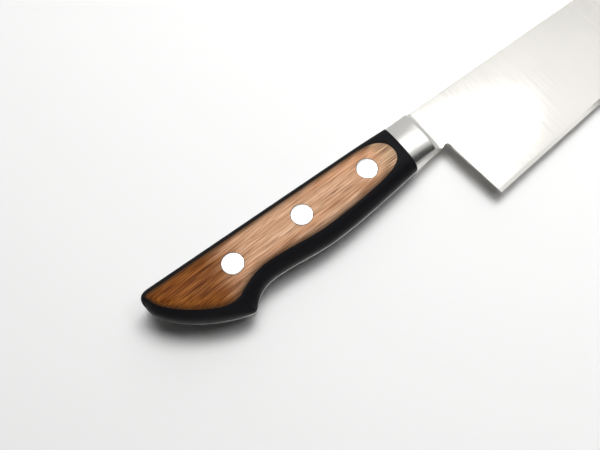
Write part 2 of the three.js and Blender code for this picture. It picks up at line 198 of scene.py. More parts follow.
def bezier(points, steps):
    share = np.linspace(0, 1, steps + 1)[:, None]
    rows = [np.asarray(point, float) for point in points]
    while len(rows) > 1:
        rows = [a + (b - a) * share for a, b in zip(rows, rows[1:])]
    return rows[0]


def glide(start, end, start_slope, end_slope, steps):
    """A curve between two places that leaves and arrives at given slopes."""
    third = (end[0] - start[0]) / 3
    leave = (start[0] + third, start[1] + third * start_slope)
    arrive = (end[0] - third, end[1] - third * end_slope)
    return bezier([start, leave, arrive, end], steps)


def smoothstep(x, low, high):
    share = np.clip((x - low) / (high - low), 0, 1)
    return share * share * (3 - 2 * share)


def mix(a, b, share):
    return a + (b - a) * share


def back_point(x):
    front = mix(-BACK_DIP, 0, np.minimum(x / BOLSTER_LENGTH, 1))
    rear = mix(-BACK_DIP, BACK_RISE, -x / HANDLE_LENGTH)
    return np.stack([x, np.where(x > 0, front, rear)], -1)


def belly_line():
    waist = (BEAK[0] + WAIST_FROM_BEAK, -WAIST_DEPTH)
    swell = (waist[0] + SWELL_FROM_WAIST, -SWELL_DEPTH)
    beak_start = (BEAK[0] + BEAK_ROUND, BEAK[1] + BEAK_ROUND * BEAK_SLOPE)
    runs = [
        glide((0, -JOINT_DEPTH), swell, JOINT_SLOPE, 0, FRONT_STEPS),
        glide(swell, waist, 0, 0, WAIST_STEPS),
        glide(waist, beak_start, 0, BEAK_SLOPE, WAIST_STEPS),
    ]
    return np.concatenate([runs[0]] + [run[1:] for run in runs[1:]])


def butt_line(beak_start):
    beak_end = BEAK + np.array([-BEAK_ROUND, BEAK_ROUND * BUTT_SLOPE])
    rear = np.array([-HANDLE_LENGTH, BACK_RISE - REAR_CORNER])
    beak = bezier([beak_start, BEAK, beak_end], BEAK_STEPS)
    sweep = beak_end + np.array([-BUTT_SWEEP, BUTT_SWEEP * BUTT_SLOPE])
    turn = rear - np.array([0, BUTT_TURN])
    return np.concatenate([beak, bezier([beak_end, sweep, turn, rear], BUTT_STEPS)[1:]])


def corner_line(rear):
    sharp = back_point(np.float64(-HANDLE_LENGTH))
    back = back_point(np.float64(REAR_CORNER - HANDLE_LENGTH))
    leave = mix(rear, sharp, CORNER_FULLNESS)
    arrive = mix(back, sharp, CORNER_FULLNESS)
    return bezier([rear, leave, arrive, back], CORNER_STEPS)


def edge_line():
    leave = HEEL + EDGE_STRAIGHT * np.array([math.cos(EDGE_RISE), math.sin(EDGE_RISE)])
    sweep = np.array([math.cos(EDGE_SWEEP_ANGLE), math.sin(EDGE_SWEEP_ANGLE)])
    return bezier([HEEL, leave, POINT - EDGE_SWEEP * sweep, POINT], EDGE_STEPS)


def spine_line():
    start = (SPINE_STRAIGHT, 0)
    ease = (SPINE_STRAIGHT + SPINE_EASE, 0)
    fall = SPINE_FALL * np.array([-math.cos(SPINE_FALL_ANGLE), math.sin(SPINE_FALL_ANGLE)])
    return bezier([start, ease, POINT + fall, POINT], SPINE_STEPS)


def choil_line():
    top = np.array([HEEL[0] - (HEEL_DEPTH - CHOIL_DEPTH) * math.tan(HEEL_LEAN), -CHOIL_DEPTH])
    down = CHOIL_RADIUS * np.array([math.sin(HEEL_LEAN), -math.cos(HEEL_LEAN)])
    return bezier([top + down, top, top - np.array([CHOIL_RADIUS, 0])], CHOIL_STEPS)


BELLY = belly_line()
BUTT = butt_line(BELLY[-1])
CORNER = corner_line(BUTT[-1])
NECK = np.array([[FILLET_END, -NECK_DEPTH], [BOLSTER_LENGTH, -NECK_DEPTH], BELLY[0]])
LOWER_SIDE = np.concatenate([NECK, BELLY])
BACK = np.concatenate([CORNER, back_point(np.array([0, BOLSTER_LENGTH, FILLET_END]))])


# Outer surface of handle and bolster


def distance_to(line, points):
    start = line[:-1]
    along = line[1:] - start
    offset = points[:, None] - start
    share = np.clip((offset * along).sum(2) / np.maximum((along**2).sum(1), TINY), 0, 1)
    return np.linalg.norm(offset - share[..., None] * along, axis=2).min(1)


def rounding(distance, reach, wall, power):
    """Share of the crown's height, which falls to the wall's share at the outline."""
    left = np.maximum(0, 1 - distance / reach)
    return wall + (1 - wall) * (1 - left**power) ** (1 / power)


def towards_grip(x, at_joint, at_grip):
    left = np.clip(1 + x / GRIP_RUN, 0, 1)
    return mix(at_grip, at_joint, left**2)


def crown_height(x):
    cheek = mix(JOINT_HALF, BOLSTER_HALF, x / BOLSTER_LENGTH)
    run = np.maximum(FILLET_END - x, 0)
    hollow = STEEL_HALF + BOLSTER_FILLET - np.sqrt(np.maximum(BOLSTER_FILLET**2 - run**2, 0))
    front = np.where(x <= BOLSTER_LENGTH, cheek, hollow)
    return np.where(x <= 0, towards_grip(x, JOINT_HALF, GRIP_HALF), front)


def flank_height(points):
    grind = (STEEL_HALF - HEEL_HALF) / HEEL_DEPTH
    taper = (STEEL_HALF - POINT_HALF - grind * POINT_DROP) / (POINT[0] - BOLSTER_LENGTH)
    return STEEL_HALF - taper * (points[:, 0] - BOLSTER_LENGTH) + grind * points[:, 1]


def outer_height(points):
    x = points[:, 0]
    back = rounding(distance_to(BACK, points), SPINE_ROUND, SPINE_WALL, SPINE_POWER)
    belly_reach = towards_grip(x, JOINT_ROUND, BELLY_ROUND)
    belly = rounding(distance_to(LOWER_SIDE, points), belly_reach, SOFT_WALL, ROUND_POWER)
    butt_reach = mix(REAR_ROUND, BUTT_ROUND, smoothstep(-points[:, 1], 0, REAR_RUN))
    butt = rounding(distance_to(BUTT, points), butt_reach, SOFT_WALL, ROUND_POWER)
    ground = smoothstep(x, BOLSTER_LENGTH, FILLET_END)
    steel_face = mix(STEEL_HALF, flank_height(points), ground)
    return steel_face + (crown_height(x) - STEEL_HALF) * back * belly * butt


# Meshes


def place(points):
    """Places in the frame, in metres, of points in millimetres."""
    return np.asarray(points, float) * MM + ORIGIN


def make_object(name, points, faces):
    mesh = bpy.data.meshes.new(name)
    mesh.from_pydata(place(points).tolist(), [], faces)
    piece = bpy.data.objects.new(name, mesh)
    bpy.context.scene.collection.objects.link(piece)
    tidy_mesh(mesh)
    return piece


def tidy_mesh(mesh):
    work = bmesh.new()
    work.from_mesh(mesh)
    bmesh.ops.remove_doubles(work, verts=work.verts, dist=WELD * MM)
    bmesh.ops.dissolve_degenerate(work, edges=work.edges, dist=WELD * MM)
    bmesh.ops.recalc_face_normals(work, faces=work.faces)
    work.to_mesh(mesh)
    work.free()


def band_faces(rings, sides):
    """Quads between closed rings of points that follow one another."""
    faces = []
    for k in range(rings - 1):
        for i in range(sides):
            j = (i + 1) % sides
            faces.append((k * sides + i, k * sides + j, (k + 1) * sides + j, (k + 1) * sides + i))
    return faces


def pillow(upper, lower, across, base_height):
    """Points and faces of a solid between its base and the outer surface, in rows from upper to lower."""
    rows = len(upper)
    columns = across + 1
    share = (1 - np.cos(np.pi * np.arange(columns) / across)) / 2
    grid = (upper[:, None] + (lower - upper)[:, None] * share[None, :, None]).reshape(-1, 2)
    top = np.column_stack([grid, outer_height(grid)])
    outline = np.concatenate([upper, lower])
    base = np.column_stack([outline, base_height(outline)])
    faces = []
    for i in range(rows - 1):
        first = i * columns
        last = first + across
        high = rows * columns + i
        low = high + rows
        for a in range(first, last):
            faces.append((a, a + 1, a + 1 + columns, a + columns))
        faces.append((first, first + columns, high + 1, high))
        faces.append((last + columns, last, low, low + 1))
        faces.append((high, high + 1, low + 1, low))
    for row in (0, rows - 1):
        line = list(range(row * columns, (row + 1) * columns))
        faces.append(tuple(line + [rows * columns + rows + row, rows * columns + row]))
    return np.concatenate([top, base]), faces


def cut_level(piece, height, keep_above):
    """Cuts a piece at a height in the part and closes it."""
    work = bmesh.new()
    work.from_mesh(piece.data)
    everything = work.verts[:] + work.edges[:] + work.faces[:]
    level = ORIGIN[2] + height * MM
    cut = bmesh.ops.bisect_plane(
        work,
        geom=everything,
        dist=1e-9,
        plane_co=(0, 0, level),
        plane_no=(0, 0, 1),
        clear_inner=keep_above,
        clear_outer=not keep_above,
    )
    rim = [item for item in cut["geom_cut"] if isinstance(item, bmesh.types.BMEdge)]
    bmesh.ops.holes_fill(work, edges=rim, sides=0)
    bmesh.ops.recalc_face_normals(work, faces=work.faces)
    work.to_mesh(piece.data)
    work.free()


def circle(centre, radius):
    angles = np.linspace(0, 2 * np.pi, ROUND_SIDES, endpoint=False)
    return np.column_stack([centre[0] + radius * np.cos(angles), centre[1] + radius * np.sin(angles)])


def cylinder(radius, centre, low, high):
    ring = circle(centre, radius)
    points = np.concatenate([np.column_stack([ring, np.full(ROUND_SIDES, z)]) for z in (low, high)])
    bottom = tuple(range(ROUND_SIDES))[::-1]
    top = tuple(range(ROUND_SIDES, 2 * ROUND_SIDES))
    return make_object("cutter", points, [*band_faces(2, ROUND_SIDES), bottom, top])


def drill(piece, cutters):
    for cutter in cutters:
        cut = piece.modifiers.new("drill", "BOOLEAN")
        cut.object = cutter
        cut.operation = "DIFFERENCE"
        cut.solver = "EXACT"
    graph = bpy.context.evaluated_depsgraph_get()
    mesh = bpy.data.meshes.new_from_object(piece.evaluated_get(graph))
    piece.modifiers.clear()
    piece.data = mesh
    for cutter in cutters:
        bpy.data.objects.remove(cutter)


def smooth(piece, crease):
    mesh = piece.data
    mesh.polygons.foreach_set("use_smooth", np.ones(len(mesh.polygons), bool))
    mesh.set_sharp_from_angle(angle=math.radians(crease))


def flip(piece):
    """Turns a piece over to the other side of the steel."""
    mesh = piece.data
    points = np.empty(len(mesh.vertices) * 3)
    mesh.vertices.foreach_get("co", points)
    points = points.reshape(-1, 3)
    points[:, 2] = 2 * ORIGIN[2] - points[:, 2]
    mesh.vertices.foreach_set("co", points.ravel())
    mesh.flip_normals()
    mesh.update()


pieces = []


def dress(piece, node, material):
    pieces.append(piece)
    piece.data.materials.clear()
    piece.data.materials.append(material)
    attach(piece, "root")
    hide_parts(node)


# Pieces


def rivet_centres():
    front = -RIVET_FROM_JOINT
    rear = RIVET_FROM_BUTT - HANDLE_LENGTH
    return [(x, -RIVET_DEPTH) for x in (front, (front + rear) / 2, rear)]


def scale_outline():
    end = np.concatenate([BUTT, CORNER[1:]])
    back_of_end = back_point(np.linspace(end[0, 0], end[-1, 0], len(end)))
    upper = np.concatenate([back_point(BELLY[:, 0]), back_of_end[1:]])
    lower = np.concatenate([BELLY, end[1:]])
    return upper[::-1], lower[::-1]


def tang_face(outline):
    return np.full(len(outline), float(STEEL_HALF))


def scale_layer(name, left, above):
    """The brown layer above the glue line, or the black one below it."""
    points, faces = pillow(*scale_outline(), SCALE_STEPS_ACROSS, tang_face)
    piece = make_object(name, points, faces)
    cut_level(piece, LAYER_HEIGHT + (GLUE_LINE if above else -GLUE_LINE) / 2, above)
    cutters = []
    for centre in rivet_centres():
        cutters.append(cylinder(HEAD_RADIUS + RIVET_CLEARANCE, centre, HEAD_SEAT, GRIP_HALF + CUT_PAST))
        if not above:
            cutters.append(cylinder(SLEEVE_RADIUS + RIVET_CLEARANCE, centre, 0, HEAD_SEAT + CUT_OVERLAP))
    drill(piece, cutters)
    if left:
        flip(piece)
    smooth(piece, SCALE_CREASE)
    return piece


def cheek_base(outline):
    ground = outline[:, 0] > BOLSTER_LENGTH + STEP_RUN / 2
    return np.where(ground, flank_height(outline), STEEL_HALF)


def bolster_cheek(name, left):
    cheek = np.linspace(JOINT_GAP, BOLSTER_LENGTH, CHEEK_POINTS)
    hollow = mix(BOLSTER_LENGTH, FILLET_END, np.sin(np.linspace(0, np.pi / 2, CHEEK_POINTS)))
    x = np.concatenate([cheek, [BOLSTER_LENGTH + STEP_RUN], hollow[1:]])
    depth = mix(JOINT_DEPTH, NECK_DEPTH, np.minimum(x / BOLSTER_LENGTH, 1))
    lower = np.stack([x, -depth], -1)
    points, faces = pillow(back_point(x), lower, CHEEK_STEPS_ACROSS, cheek_base)
    piece = make_object(name, points, faces)
    if left:
        flip(piece)
    smooth(piece, CHEEK_CREASE)
    return piece


def rivet_half(name, centre, profile, left):
    """A rivet half whose head follows the scale's surface, with a small break round its rim."""
    flat_radius = HEAD_RADIUS - HEAD_BREAK
    head = [(radius, 0) for radius in np.linspace(HEAD_MIDDLE, flat_radius, HEAD_RINGS)]
    for turn in QUARTER_TURN[1:]:
        head.append((flat_radius + HEAD_BREAK * math.sin(turn), HEAD_BREAK * (1 - math.cos(turn))))
    rings = []
    for radius, drop in head:
        ring = circle(centre, radius)
        rings.append(np.column_stack([ring, outer_height(ring) - drop]))
    for radius, height in profile:
        rings.append(np.column_stack([circle(centre, radius), np.full(ROUND_SIDES, float(height))]))
    first = tuple(range(ROUND_SIDES))
    end = (len(rings) - 1) * ROUND_SIDES
    last = tuple(range(end, end + ROUND_SIDES))[::-1]
    faces = [first, *band_faces(len(rings), ROUND_SIDES), last]
    piece = make_object(name, np.concatenate(rings), faces)
    if left:
        flip(piece)
    smooth(piece, RIVET_CREASE)
    return piece


def inward_normals(line):
    """Unit normals to the left of a closed line that runs anticlockwise."""
    ahead = np.roll(line, -1, 0) - line
    behind = line - np.roll(line, 1, 0)
    ahead /= np.linalg.norm(ahead, axis=1)[:, None]
    behind /= np.linalg.norm(behind, axis=1)[:, None]
    along = ahead + behind
    along /= np.linalg.norm(along, axis=1)[:, None]
    return np.column_stack([-along[:, 1], along[:, 0]])


def heel_shoulder():
    """Place on the heel's rear edge where the sharpening bevel begins."""
    rise = choil_line()[0] - HEEL
    return HEEL + rise * BEVEL_WIDTH / np.linalg.norm(rise)


def steel_outline():
    """The outline of blade and tang, anticlockwise, in four runs: neck, edge, spine and tang."""
    front = BOLSTER_LENGTH + STEP_RUN
    choil = choil_line()
    heel = mix(choil[0], heel_shoulder(), np.linspace(0, 1, HEEL_POINTS)[:, None])
    neck = np.concatenate([[[front, -NECK_DEPTH]], NECK[:1], choil[::-1][:-1], heel])
    straight_x = np.linspace(SPINE_STRAIGHT, front, STRAIGHT_POINTS)
    straight = np.column_stack([straight_x, np.zeros(STRAIGHT_POINTS)])
    spine = np.concatenate([spine_line()[::-1][1:], straight[1:]])
    back = back_point(np.linspace(BOLSTER_LENGTH, REAR_CORNER - HANDLE_LENGTH, BACK_POINTS))
    rear = np.concatenate([CORNER[::-1][1:], BUTT[::-1][1:], BELLY[::-1][1:]])
    tang = np.concatenate([back, rear, NECK[1:2]])
    return neck, edge_line(), spine, tang


def steel_sides(start, split, count, near_point):
    """The faces of one side of the steel: flank, point, tang and the step between them."""
    before = near_point[0] - 1
    after = near_point[-1] + 1
    return [
        (*range(start, start + before + 1), *range(start + after, start + split)),
        tuple(range(start + before, start + after + 1)),
        tuple(range(start + split, start + count)),
        (start, start + split - 1, start + split, start + count - 1),
    ]


def blade_and_tang(name):
    """One closed mesh: rings of points run round the outline and step from the right face to the left."""
    runs = steel_outline()
    line = np.concatenate(runs)
    run = np.repeat(["neck", "edge", "spine", "tang"], [len(points) for points in runs])
    is_edge = run == "edge"
    is_tang = run == "tang"
    on_spine = (run == "spine") & (line[:, 0] > FILLET_END)
    inward = inward_normals(line)
    tip = np.clip(np.linalg.norm(line - POINT, axis=1) / POINT_RUN, 0, 1)
    size = np.where(on_spine, SPINE_BREAK * mix(POINT_BREAK_SHARE, 1, tip), TANG_BREAK)
    bevel = BEVEL_WIDTH * tip
    ridge = mix(EDGE_HALF, flank_height(line + inward * bevel[:, None]), tip)

    rings = []
    for turn in QUARTER_TURN:
        inset = np.where(is_edge, bevel, size) * (1 - math.sin(turn))
        ring = line + inward * inset[:, None]
        ring[len(runs[0])] = mix(heel_shoulder(), HEEL, math.sin(turn))
        flank = mix(EDGE_HALF, flank_height(ring), tip)
        height = np.where(is_tang, STEEL_HALF, flank) - size * (1 - math.cos(turn))
        height = np.where(is_edge, mix(EDGE_HALF, ridge, 1 - math.sin(turn)), height)
        rings.append(np.column_stack([ring, height]))
    rings += [ring * np.array([1, 1, -1]) for ring in rings[::-1]]

    count = len(line)
    split = count - len(runs[3])
    near_point = np.flatnonzero(tip < 1)
    faces = band_faces(len(rings), count)
    for start in (0, (len(rings) - 1) * count):
        faces += steel_sides(start, split, count, near_point)
    piece = make_object(name, np.concatenate(rings), faces)
    through = STEEL_HALF + CUT_PAST
    drill(piece, [cylinder(SLEEVE_RADIUS + RIVET_CLEARANCE, at, -through, through) for at in rivet_centres()])
    smooth(piece, BLADE_CREASE)
    # The flanks are flat faces of many sides, and only the bands of quads round them are shaded smooth.
    for polygon in piece.data.polygons:
        polygon.use_smooth = len(polygon.vertices) == 4
    return piece


# Materials

# Depth of the finest relief, in millimetres
BUMP_DEPTH = 0.02

# Soft clouds in the steel, in repeats per millimetre, and the share of its colour in their dark places
STEEL_CLOUD = (0.05, 0.05, 0.05)
STEEL_SHADE = 0.965

# The narrow edge of the tang, between the scales, gets a darker colour than the blade: painted shade for the
# shadowed floor that it mirrors.
TANG_PAINTED_SHADE = (0.42, 0.41, 0.39, 1)

# Grain of the woods, in repeats per millimetre along, across and through the handle. It runs a little
# off the handle's length.
GRAIN_SLOPE = -0.05
SWAY = (0.03, 0.04, 0.04)
BAND = (0.02, 0.4, 0.3)
FIBRE = (0.07, 2.4, 1.2)
HAIR = (0.11, 3.8, 1.9)
PATCH = (0.05, 0.16, 0.16)
STRAND = (0.05, 2.6, 1.2)
STRAND_GAPS = (0.14, 0.9, 0.6)
STRIPE = (0.05, 2.7, 0.2)
BLACK_STREAK = (0.03, 1.1, 1.1)
BLACK_FIBRE = (0.08, 3.0, 3.0)

# A vein runs where the strands' noise is this close to its middle.
VEIN_WIDTH = 0.055

# Colours from dark to pale grain, each with the tone that it stands for. The pale ones also carry a painted
# sheen.
PALE_WOOD_AND_SHEEN = [(0.36, (0.36, 0.175, 0.086)), (0.5, (0.6, 0.345, 0.202)), (0.64, (0.8, 0.53, 0.355))]
DEEP_WOOD = [(0.36, (0.06, 0.012, 0.002)), (0.5, (0.2, 0.06, 0.008)), (0.64, (0.38, 0.14, 0.03))]
BLACK_WOOD = [(0.35, (0.002, 0.002, 0.003)), (0.7, (0.005, 0.0048, 0.006))]
PATCH_TINT = (0.96, 0.86, 0.79, 1)
VEIN_TINT = (0.3, 0.22, 0.17, 1)
STRIPE_DARK = (0.24, 0.13, 0.075, 1)
STRIPE_PALE = (0.75, 0.51, 0.3, 1)
RIM_COLOUR = (0.05, 0.024, 0.01, 1)

# Stretches of X in the frame, in millimetres, over which the wood deepens to the butt and its painted sheen
# ends, swaying with the bands, and turns striped in front, and the height over which the brown layer darkens
# to its rim
DARK_END = (-140, -122)
DARK_END_SWAY = 14
STRIPED_FRONT = (-74, -66)
RIM_HEIGHT = 0.75


class Nodes:
    """Helpers that add nodes to a tree and hand back their outputs."""

    def __init__(self, owner):
        owner.use_nodes = True
        self.tree = owner.node_tree
        self.tree.nodes.clear()

    def add(self, kind, **settings):
        node = self.tree.nodes.new(kind)
        for name, value in settings.items():
            setattr(node, name, value)
        return node

    def feed(self, socket, value):
        if isinstance(value, bpy.types.NodeSocket):
            self.tree.links.new(value, socket)
        else:
            socket.default_value = value

    def vector(self, operation, a, b, result="Vector"):
        node = self.add("ShaderNodeVectorMath", operation=operation)
        self.feed(node.inputs[0], a)
        self.feed(node.inputs[1], b)
        return node.outputs[result]

    def parts(self, vector):
        node = self.add("ShaderNodeSeparateXYZ")
        self.feed(node.inputs[0], vector)
        return node.outputs

    def math(self, operation, a, b=0.0):
        node = self.add("ShaderNodeMath", operation=operation)
        self.feed(node.inputs[0], a)
        self.feed(node.inputs[1], b)
        return node.outputs[0]

    def weigh(self, *pairs):
        """The sum of values, each times its weight."""
        terms = [self.math("MULTIPLY", value, weight) for value, weight in pairs]
        total = terms[0]
        for term in terms[1:]:
            total = self.math("ADD", total, term)
        return total

    def remap(self, value, low, high, to_low=0.0, to_high=1.0):
        node = self.add("ShaderNodeMapRange", interpolation_type="SMOOTHSTEP")
        for socket, number in zip(node.inputs, (value, low, high, to_low, to_high)):
            self.feed(socket, number)
        return node.outputs[0]

    def seen(self):
        """1 for what the camera sees, straight or in metal or glass, and 0 for light on the object."""
        path = self.add("ShaderNodeLightPath").outputs
        mirrored = self.math("MAXIMUM", path["Is Glossy Ray"], path["Is Transmission Ray"])
        return self.math("MAXIMUM", path["Is Camera Ray"], mirrored)


class Surface(Nodes):
    """A material around one principled shader, with noise measured in millimetres of the part."""

    def __init__(self, name):
        self.material = bpy.data.materials.new(name)
        super().__init__(self.material)
        self.output = self.add("ShaderNodeOutputMaterial")
        self.shader = self.add("ShaderNodeBsdfPrincipled")
        self.feed(self.output.inputs[0], self.shader.outputs[0])
        metres = self.add("ShaderNodeTexCoord").outputs["Object"]
        self.spot = self.vector("MULTIPLY", metres, (1 / MM, 1 / MM, 1 / MM))

    def cover(self, share, shader):
        """Lays another shader over the principled one."""
        node = self.add("ShaderNodeMixShader")
        for socket, value in zip(node.inputs, (share, self.shader.outputs[0], shader)):
            self.feed(socket, value)
        self.feed(self.output.inputs[0], node.outputs[0])

    def set(self, **values):
        for name, value in values.items():
            self.feed(self.shader.inputs[name.replace("_", " ").title().replace("Ior", "IOR")], value)

    def noise(self, per_mm, detail=2.0, roughness=0.5, spot=None):
        node = self.add("ShaderNodeTexNoise")
        self.feed(node.inputs["Vector"], self.vector("MULTIPLY", spot or self.spot, per_mm))
        node.inputs["Scale"].default_value = 1
        node.inputs["Detail"].default_value = detail
        node.inputs["Roughness"].default_value = roughness
        return node.outputs[0]

    def axis(self, name):
        return self.parts(self.spot)[name]

    def ramp(self, share, stops):
        node = self.add("ShaderNodeValToRGB")
        elements = node.color_ramp.elements
        while len(elements) < len(stops):
            elements.new(0.5)
        for element, (position, colour) in zip(elements, stops):
            element.position = position
            element.color = (*colour, 1)
        self.feed(node.inputs[0], share)
        return node.outputs[0]

    def blend(self, share, a, b, kind="MIX"):
        """Mixes two colours, on the colour sockets of a node that has a set for each type of value."""
        node = self.add("ShaderNodeMix", data_type="RGBA", blend_type=kind)
        self.feed(node.inputs[0], share)
        self.feed(node.inputs[6], a)
        self.feed(node.inputs[7], b)
        return node.outputs[2]

    def bump(self, height, strength):
        node = self.add("ShaderNodeBump")
        node.inputs["Strength"].default_value = strength
        node.inputs["Distance"].default_value = BUMP_DEPTH * MM
        self.feed(node.inputs["Height"], height)
        self.feed(self.shader.inputs["Normal"], node.outputs[0])


def steel(name, colour, roughness, lines, painted_shade_behind=None):
    """Steel with fine ground lines, slightly uneven in tone and gloss, and darkened by painted shade behind a
    given length.
    """
    surface = Surface(name)
    hair = surface.noise(lines, detail=3, roughness=0.6)
    tone = surface.weigh((hair, 0.6), (surface.noise(STEEL_CLOUD), 0.4))
    shaded = tuple(STEEL_SHADE * part for part in colour)
    shade = surface.ramp(tone, [(0.3, shaded), (0.7, colour)])
    if painted_shade_behind is not None:
        # Painted shade: behind this length the steel's colour darkens, for the shaded floor that the tang's
        # edge mirrors.
        tang_shade = surface.remap(surface.axis("X"), painted_shade_behind - 1, painted_shade_behind, 1.0, 0.0)
        shade = surface.blend(tang_shade, shade, TANG_PAINTED_SHADE)
    surface.set(
        base_color=shade,
        metallic=1.0,
        roughness=surface.remap(tone, 0.2, 0.8, roughness - 0.04, roughness + 0.05),
    )
    surface.bump(hair, strength=0.06)
    return surface.material


def along_grain(surface):
    """Places moved along with the grain's slope and sway."""
    drift = surface.math("MULTIPLY", surface.axis("X"), GRAIN_SLOPE)
    offset = surface.add("ShaderNodeCombineXYZ")
    surface.feed(offset.inputs["Y"], surface.math("ADD", drift, surface.noise(SWAY)))
    return surface.vector("ADD", surface.spot, offset.outputs[0])


def wood_veins(surface, grain):
    """Share of thin dark veins that come and go along the grain."""
    strand = surface.noise(STRAND, detail=1, spot=grain)
    from_middle = surface.math("ABSOLUTE", surface.math("SUBTRACT", strand, 0.5))
    vein = surface.remap(from_middle, 0.0, VEIN_WIDTH, 1.0, 0.0)
    gaps = surface.noise(STRAND_GAPS, detail=1, spot=grain)
    return surface.math("MULTIPLY", vein, surface.remap(gaps, 0.44, 0.6, 0.1, 0.75))


def brown_rim(surface, front):
    """Share of the dark rim round the brown layer, a little weaker below and weak at the striped front."""
    height = surface.math("ABSOLUTE", surface.math("SUBTRACT", surface.axis("Z"), ORIGIN[2] / MM))
    rim = surface.remap(height, LAYER_HEIGHT, LAYER_HEIGHT + RIM_HEIGHT, 0.95, 0.0)
    normal = surface.add("ShaderNodeNewGeometry").outputs["Normal"]
    rim = surface.math("MULTIPLY", rim, surface.remap(surface.parts(normal)["Y"], -0.1, 0.15, 0.9, 1.0))
    return surface.math("MULTIPLY", rim, surface.remap(front, 0.0, 1.0, 1.0, 0.35))


def brown_wood():
    """Resin-filled wood with fine fibres: pale along the grip, partly from a painted sheen, deep at the butt
    and striped in front.
    """
    surface = Surface("brown_wood")
    grain = along_grain(surface)
    band = surface.noise(BAND, spot=grain)
    fibre = surface.noise(FIBRE, detail=1, spot=grain)
    hair = surface.noise(HAIR, detail=1, spot=grain)
    tone = surface.weigh((band, 0.1), (fibre, 0.36), (hair, 0.54))
    length = surface.weigh((surface.axis("X"), 1.0), (band, DARK_END_SWAY))
    deep_without_sheen = surface.remap(length, *DARK_END, 1.0, 0.0)
    # The pale colours along the grip hold a painted sheen, a whitish lift of the wood's colour. It fades out
    # towards the butt, where the deep colours are the wood's own.
    colour = surface.blend(deep_without_sheen, surface.ramp(tone, PALE_WOOD_AND_SHEEN), surface.ramp(tone, DEEP_WOOD))
    patch = surface.remap(surface.noise(PATCH, detail=1, spot=grain), 0.45, 0.65)
    colour = surface.blend(patch, colour, PATCH_TINT, "MULTIPLY")
    vein = wood_veins(surface, grain)
    colour = surface.blend(vein, colour, VEIN_TINT, "MULTIPLY")
    stripe = surface.remap(surface.noise(STRIPE, detail=1, spot=grain), 0.46, 0.54)
    front = surface.remap(surface.axis("X"), *STRIPED_FRONT)
    colour = surface.blend(front, colour, surface.blend(stripe, STRIPE_DARK, STRIPE_PALE))
    surface.set(
        base_color=surface.blend(brown_rim(surface, front), colour, RIM_COLOUR),
        roughness=surface.remap(fibre, 0.3, 0.7, 0.5, 0.4),
        specular_ior_level=0.12,
    )
    surface.bump(surface.math("SUBTRACT", hair, vein), strength=0.15)
    return surface.material


def black_wood():
    """The dyed layers: near black, with the fibres showing faintly in the gloss."""
    surface = Surface("black_wood")
    streak = surface.noise(BLACK_STREAK, detail=3, roughness=0.6)
    fibre = surface.noise(BLACK_FIBRE)
    surface.set(
        base_color=surface.ramp(streak, BLACK_WOOD),
        roughness=surface.remap(fibre, 0.3, 0.7, 0.48, 0.4),
        specular_ior_level=0.11,
    )
    surface.bump(fibre, strength=0.08)
    return surface.material


# Assembly

blade_steel = steel(
    "blade_steel",
    colour=(0.88, 0.86, 0.81),
    roughness=0.08,
    lines=(2.2, 0.06, 0.06),
    # Painted shade darkens the tang's edge behind the joint.
    painted_shade_behind=ORIGIN[0] / MM,
)
bolster_steel = steel("bolster_steel", colour=(0.8, 0.79, 0.76), roughness=0.18, lines=(0.08, 2.0, 2.0))
rivet_steel = steel("rivet_steel", colour=(0.88, 0.88, 0.87), roughness=0.24, lines=(2.4, 0.15, 0.15))
brown = brown_wood()
black = black_wood()

dress(blade_and_tang("knife_blade"), "blade", blade_steel)
for side in ("right", "left"):
    on_left = side == "left"
    cheek = bolster_cheek(f"cheek_{side}", on_left)
    dress(cheek, f"bolster_{side}", bolster_steel)
    core = scale_layer(f"core_{side}", on_left, above=False)
    dress(core, f"scale_core_{side}", black)
    face = scale_layer(f"face_{side}", on_left, above=True)
    dress(face, f"scale_face_{side}", brown)

# Radius and height at each turn of a rivet half below its head's surface
SLEEVE_BORE = PIN_RADIUS + RIVET_CLEARANCE
SLEEVE_PROFILE = [
    (HEAD_RADIUS, HEAD_SEAT),
    (SLEEVE_RADIUS, HEAD_SEAT),
    (SLEEVE_RADIUS, -RIVET_REACH),
    (SLEEVE_BORE, -RIVET_REACH),
    (SLEEVE_BORE, RIVET_REACH + RIVET_CLEARANCE),
]
PIN_PROFILE = [
    (HEAD_RADIUS, HEAD_SEAT),
    (PIN_RADIUS, HEAD_SEAT),
    (PIN_RADIUS, -RIVET_REACH),
]
for centre, where in zip(rivet_centres(), ("front", "middle", "rear")):
    sleeve = rivet_half(f"sleeve_{where}", centre, SLEEVE_PROFILE, False)
    dress(sleeve, f"rivet_sleeve_{where}", rivet_steel)
    pin = rivet_half(f"pin_{where}", centre, PIN_PROFILE, True)
    dress(pin, f"rivet_pin_{where}", rivet_steel)

# Floor: a pale sheet under the knife's lowest place, level across the blade and rising a little towards
# the point. Between the two distances, in millimetres, camera and metal see it turn to the background's
# white.

FLOOR_RISE = 0.028
FLOOR_UP = Vector((-FLOOR_RISE, 0.0, 1.0)).normalized()
FLOOR_HALF = 3.0
FLOOR_FADE = (240, 520)


